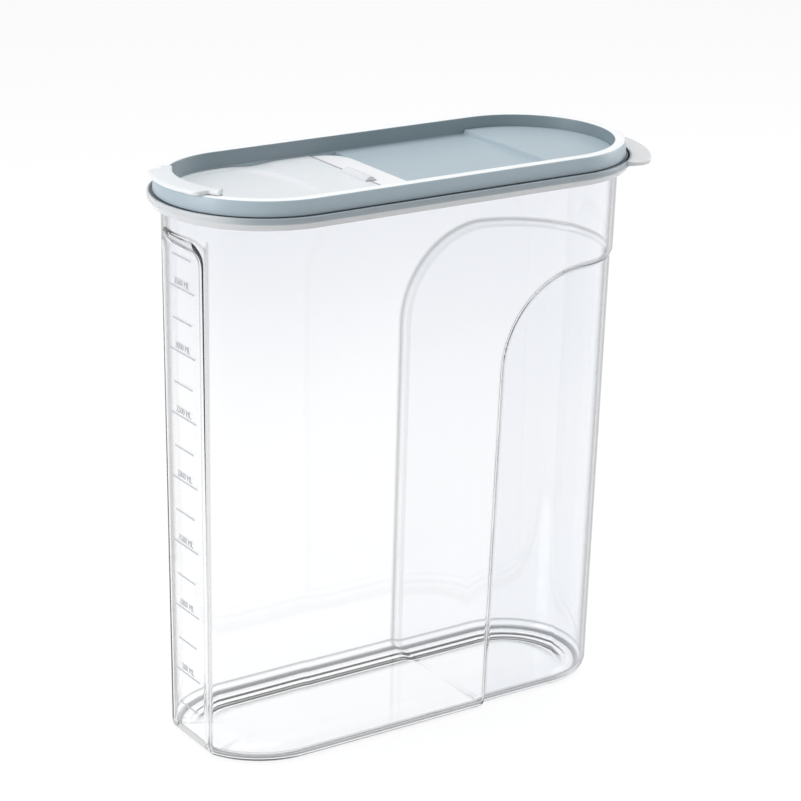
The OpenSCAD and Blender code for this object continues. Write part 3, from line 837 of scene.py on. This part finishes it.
flap = {
    "foldX": 20.7, "topZ": 257.1, "thick": 1.3, "edgeR": 41.3,
    "dishDepth": 0.8, "dishX": 46.5, "dishR": 42.0, "dishFlat": 0.75, "dishEdge": 3.0, "dishSide": 40.4,
    "dishSteep": 1.6,
    "saddleX": 51.0, "saddleHalf": 15.0, "saddleDepth": 0.85, "saddleW": 12.0,
    "padSide": 34.0, "padEdge": 0.8, "plugGap": 0.8, "plugThick": 1.2, "plugLow": 253.8, "plugOverlap": 0.2,
    "ridgeR": 38.8, "ridgeHalf": 34.5, "ridgeFillet": 4.0, "ridgeRoot": 33.0, "ridgeTop": 0.9,
    "rootSunk": 0.3, "rootEdge": 0.12, "rootRise": 0.1,
    "landR": 44.0, "landIn": 1.6, "landFillet": 1.5, "landFilletW": 1.7,
    "lipR": 49.2, "lipHalf": 27.5, "lipCorner": 3.6, "lipLow": 265.1, "lipTop": 267.2, "lipDroop": 0.1,
    "lipEdge": 0.75, "underFillet": 0.4,
}
strap = {"x": 20.2, "length": 20.0, "width": 6.2, "side": 257.3, "top": 259.3, "low": 256.35}


def flapSpread(x, y):
    # distance from the line between the two end centres
    return math.hypot(max(-x - endX, 0), y)


def flapHeight(x, y, upper):
    d = flap
    rearArc = d["dishR"] - math.hypot(x + d["dishX"] + d["dishR"], y * d["dishFlat"])
    if not upper:
        pad = blendStep(min(rearArc - d["plugThick"], d["padSide"] - flapSpread(x, y)), 0, d["padEdge"])
        return d["topZ"] - d["thick"] - d["dishDepth"] * pad
    low = blendStep(min(rearArc, (d["dishSide"] - flapSpread(x, y)) * d["dishSteep"]), 0, d["dishEdge"])
    dip = blendStep(d["saddleHalf"] - abs(x + d["saddleX"]), 0, d["saddleHalf"])
    dip *= blendStep(abs(y), d["edgeR"] - d["saddleW"], d["edgeR"])
    return d["topZ"] - max(d["dishDepth"] * low, d["saddleDepth"] * dip)


def makeFlapPlate(bm):
    d = flap
    end = endX + d["edgeR"]
    # columns crowd at the fold, at the dish's rear edge and at the round end
    places = [-d["foldX"] - step for step in (0, 0.25, 0.8, 3, 6, 10, 14, 18, 21, 23.5, 25, 26, 27, 28)]
    places += [-d["foldX"] - step for step in (29, 30.5, 32.5)]
    places += [-d["foldX"] - 35 - 2.6 * part for part in range(16)]
    places += [-end + step for step in (12, 9, 6.5, 4.6, 3.1, 2.0, 1.2, 0.6, 0.25, 0.06, 0)]

    def place(u, v, upper):
        x = places[round(u * (len(places) - 1))]
        # rows crowd towards the edge, where the dish ends
        side = math.sin((2 * v - 1) * math.pi / 2)
        y = side * plateHalfWidth(x, d["edgeR"])
        return Vector((x, y, flapHeight(x, y, upper)))

    mappedSlab(bm, len(places) - 1, 56, place)


def lipReach(angle):
    # outer radius of the lip, with a round corner and then the land over the rim
    d = flap
    centre = d["lipR"] - d["lipCorner"]
    swing = d["lipHalf"] - math.degrees(math.asin(d["lipCorner"] / centre))
    turned = math.radians(max(abs(angle) - swing, 0))
    across = centre * math.sin(turned)
    if across < d["lipCorner"]:
        return centre * math.cos(turned) + math.sqrt(d["lipCorner"] ** 2 - across ** 2)
    past = abs(angle) - d["lipHalf"]
    return d["landR"] + d["landFillet"] * (1 - blendStep(past, 0, d["landFilletW"])) ** 2


def makeLip(bm):
    d = flap
    half = d["ridgeHalf"]
    steps = [0, 3, 6, 9, 12, 15, 18, 20.5]
    steps += [d["lipHalf"] - step for step in (5, 4.2, 3.4, 2.6, 1.9, 1.3, 0.8, 0.4, 0.15, 0.02)]
    steps += [d["lipHalf"] + step for step in (0.02, 0.4, 0.9, 1.4, 1.9, 3.5)] + [half - 1, half]
    angles = [-angle for angle in reversed(steps[1:])] + steps
    low = d["topZ"] - d["dishDepth"]
    ridgeOut = d["ridgeR"] + d["thick"]
    landIn = d["landR"] - d["landIn"]
    drawProfile(bm, [
        (d["ridgeRoot"], low - d["rootEdge"], 0), (d["ridgeR"], low + d["rootRise"], d["ridgeFillet"]),
        (d["ridgeR"], d["lipTop"], d["ridgeTop"]), (landIn, d["lipTop"], 0),
        (d["lipR"], d["lipTop"] - d["lipDroop"], d["lipEdge"]), (d["lipR"], d["lipLow"], d["lipEdge"]),
        (landIn, d["lipLow"], 0), (ridgeOut, d["lipLow"], d["underFillet"]),
        (ridgeOut, low - d["rootSunk"], 0), (d["ridgeRoot"], low - d["rootSunk"], 0),
    ], closed=True)
    bmesh.ops.translate(bm, vec=(-endX, 0, 0), verts=bm.verts)
    start = Matrix.Rotation(math.radians(-90 - half), 3, "Z")
    bmesh.ops.rotate(bm, cent=(-endX, 0, 0), matrix=start, verts=bm.verts)
    bmesh.ops.spin(bm, geom=bm.verts[:] + bm.edges[:], cent=(-endX, 0, 0), axis=(0, 0, 1), dvec=(0, 0, 0),
                   angle=math.radians(2 * half), steps=len(angles) - 1, use_duplicate=False)
    bmesh.ops.holes_fill(bm, edges=[edge for edge in bm.edges if edge.is_boundary], sides=0)
    for vert in bm.verts:
        radius = math.hypot(vert.co.x + endX, vert.co.y)
        turned = math.degrees(math.atan2(-vert.co.y, -vert.co.x - endX))
        angle = angles[round((turned + half) / (2 * half) * (len(angles) - 1))]
        if radius > d["landR"]:
            radius -= d["lipR"] - lipReach(angle)
        vert.co.x = -endX - radius * math.cos(math.radians(angle))
        vert.co.y = -radius * math.sin(math.radians(angle))


def makeFlap():
    d = flap
    bm = bmesh.new()
    makeLip(bm)
    plate = bmesh.new()
    makeFlapPlate(plate)
    joinInto(bm, plate)
    plug = bmesh.new()
    raiseOutline(plug, -d["plugGap"], d["plugThick"], d["plugLow"], d["topZ"] - d["thick"] + d["plugOverlap"])
    joinInto(bm, plug)
    finishPiece(bm, "pourFlap", "flap", ["pour_flap"], flapMaterial, sharp=40, bevel=0.25)


def makeStrap():
    # closed arched strip, thinner towards its sides
    d = strap
    bm = bmesh.new()
    half, rise = d["width"] / 2, d["top"] - d["side"]
    outline = [(-half, d["low"]), (half, d["low"])]
    for part in range(13):
        across = 1 - part / 6
        outline.append((half * across, d["side"] + rise * (1 - across ** 2)))
    verts = [bm.verts.new((-d["x"] + along, -d["length"] / 2, z)) for along, z in outline]
    made = bmesh.ops.extrude_face_region(bm, geom=[bm.faces.new(verts)], use_keep_orig=True)
    shiftRaised(bm, made, (0, d["length"], 0))
    finishPiece(bm, "snapStrap", "strap", ["snap_strap"], strapMaterial, sharp=40, bevel=0.4)


makeFlap()
makeStrap()
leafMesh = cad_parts["hinge_leaf"].data
leafMesh.materials.clear()
leafMesh.materials.append(leafMaterial)
print("flap made")


# Studio

studio = {
    "horizon": 0.3, "zenith": 0.85, "reflected": 0.6,
    "floorSize": 6.0, "floorColour": (0.88, 0.88, 0.885), "floorRoughness": 0.35,
    "floorGlow": 1.05, "floorWhite": 0.75,
}
softboxes = [
    {"name": "leftSoftbox", "place": (-1.4, 0.1, 0.6), "size": (0.9, 1.0), "power": 11},
    {"name": "rightSoftbox", "place": (1.4, -0.3, 0.6), "size": (0.9, 1.0), "power": 9},
    {"name": "topSoftbox", "place": (0.0, 0.4, 1.5), "size": (1.3, 1.0), "power": 8},
]
lampTarget = (0, 0, 0.2)
view = {
    "azimuth": -33.94, "elevation": 19.5, "roll": 1.2875, "target": (0.0005, 0, 0.147), "distance": 1.2254,
    "lens": 119.12, "sensor": 36, "near": 0.05, "far": 30,
}


def makeFloor():
    # white where it is looked at, and plain grey where it only lights the object
    bm = bmesh.new()
    bmesh.ops.create_grid(bm, x_segments=1, y_segments=1, size=studio["floorSize"] / 2)
    floor = addObject("studioFloor", meshFrom(bm, "studioFloor"))
    shader = Shader("studioFloor")
    shader.set(Base_Color=studio["floorColour"], Roughness=studio["floorRoughness"])
    glow = shader.node("ShaderNodeEmission", inputs={"Color": (1, 1, 1), "Strength": studio["floorGlow"]})
    both = shader.mixSurface(studio["floorWhite"], shader.lit(), glow)
    kinds = ("Is Camera Ray", "Is Glossy Ray", "Is Transmission Ray")
    rays = [shader.node("ShaderNodeLightPath", output=kind) for kind in kinds]
    seen = rays[0].maths("MAXIMUM", rays[1]).maths("MAXIMUM", rays[2])
    shader.show(shader.mixSurface(seen, shader.lit(), both))
    floor.data.materials.append(shader.material)


def makeWorld():
    # white behind the object, and a plainer level for light and gloss
    world = bpy.data.worlds.new("studioWorld")
    bpy.context.scene.world = world
    world.use_nodes = True
    tree = world.node_tree
    tree.nodes.clear()
    rays = tree.nodes.new("ShaderNodeLightPath")

    def background(strength):
        made = tree.nodes.new("ShaderNodeBackground")
        made.inputs["Color"].default_value = (1, 1, 1, 1)
        made.inputs["Strength"].default_value = strength
        return made

    def mix(kind, first, second):
        made = tree.nodes.new("ShaderNodeMixShader")
        tree.links.new(rays.outputs[kind], made.inputs[0])
        tree.links.new(first.outputs[0], made.inputs[1])
        tree.links.new(second.outputs[0], made.inputs[2])
        return made

    # more light from above than from the sides
    spot = tree.nodes.new("ShaderNodeTexCoord")
    parts = tree.nodes.new("ShaderNodeSeparateXYZ")
    tree.links.new(spot.outputs["Generated"], parts.inputs[0])
    slope = tree.nodes.new("ShaderNodeMapRange")
    slope.inputs["To Min"].default_value = studio["horizon"]
    slope.inputs["To Max"].default_value = studio["zenith"]
    tree.links.new(parts.outputs["Z"], slope.inputs["Value"])
    dome = background(1.0)
    tree.links.new(slope.outputs[0], dome.inputs["Strength"])
    sky = mix("Is Glossy Ray", dome, background(studio["reflected"]))
    sky = mix("Is Transmission Ray", sky, background(1.0))
    sky = mix("Is Camera Ray", sky, background(1.0))
    tree.links.new(sky.outputs[0], tree.nodes.new("ShaderNodeOutputWorld").inputs["Surface"])


def makeSoftbox(box):
    data = bpy.data.lights.new(box["name"], "AREA")
    data.shape = "RECTANGLE"
    data.size, data.size_y = box["size"]
    data.energy = box["power"]
    lamp = addObject(box["name"], data)
    lamp.location = box["place"]
    lamp.rotation_euler = (Vector(lampTarget) - Vector(box["place"])).to_track_quat("-Z", "Y").to_euler()


def makeCamera():
    # the photograph's viewing angle
    azimuth, elevation, roll = (math.radians(view[key]) for key in ("azimuth", "elevation", "roll"))
    level = math.cos(elevation)
    back = Vector((math.sin(azimuth) * level, -math.cos(azimuth) * level, math.sin(elevation)))
    side = Vector((0, 0, 1)).cross(back).normalized()
    up = back.cross(side)
    sideRolled = side * math.cos(roll) + up * math.sin(roll)
    upRolled = up * math.cos(roll) - side * math.sin(roll)
    data = bpy.data.cameras.new("photoCamera")
    data.lens = view["lens"]
    data.sensor_width = view["sensor"]
    data.clip_start, data.clip_end = view["near"], view["far"]
    camera = addObject("photoCamera", data)
    turned = Matrix((sideRolled, upRolled, back)).transposed().to_4x4()
    camera.matrix_world = Matrix.Translation(Vector(view["target"]) + back * view["distance"]) @ turned
    bpy.context.scene.camera = camera


makeFloor()
makeWorld()
for box in softboxes:
    makeSoftbox(box)
makeCamera()
bpy.context.scene.view_settings.view_transform = "Standard"
print("studio made")
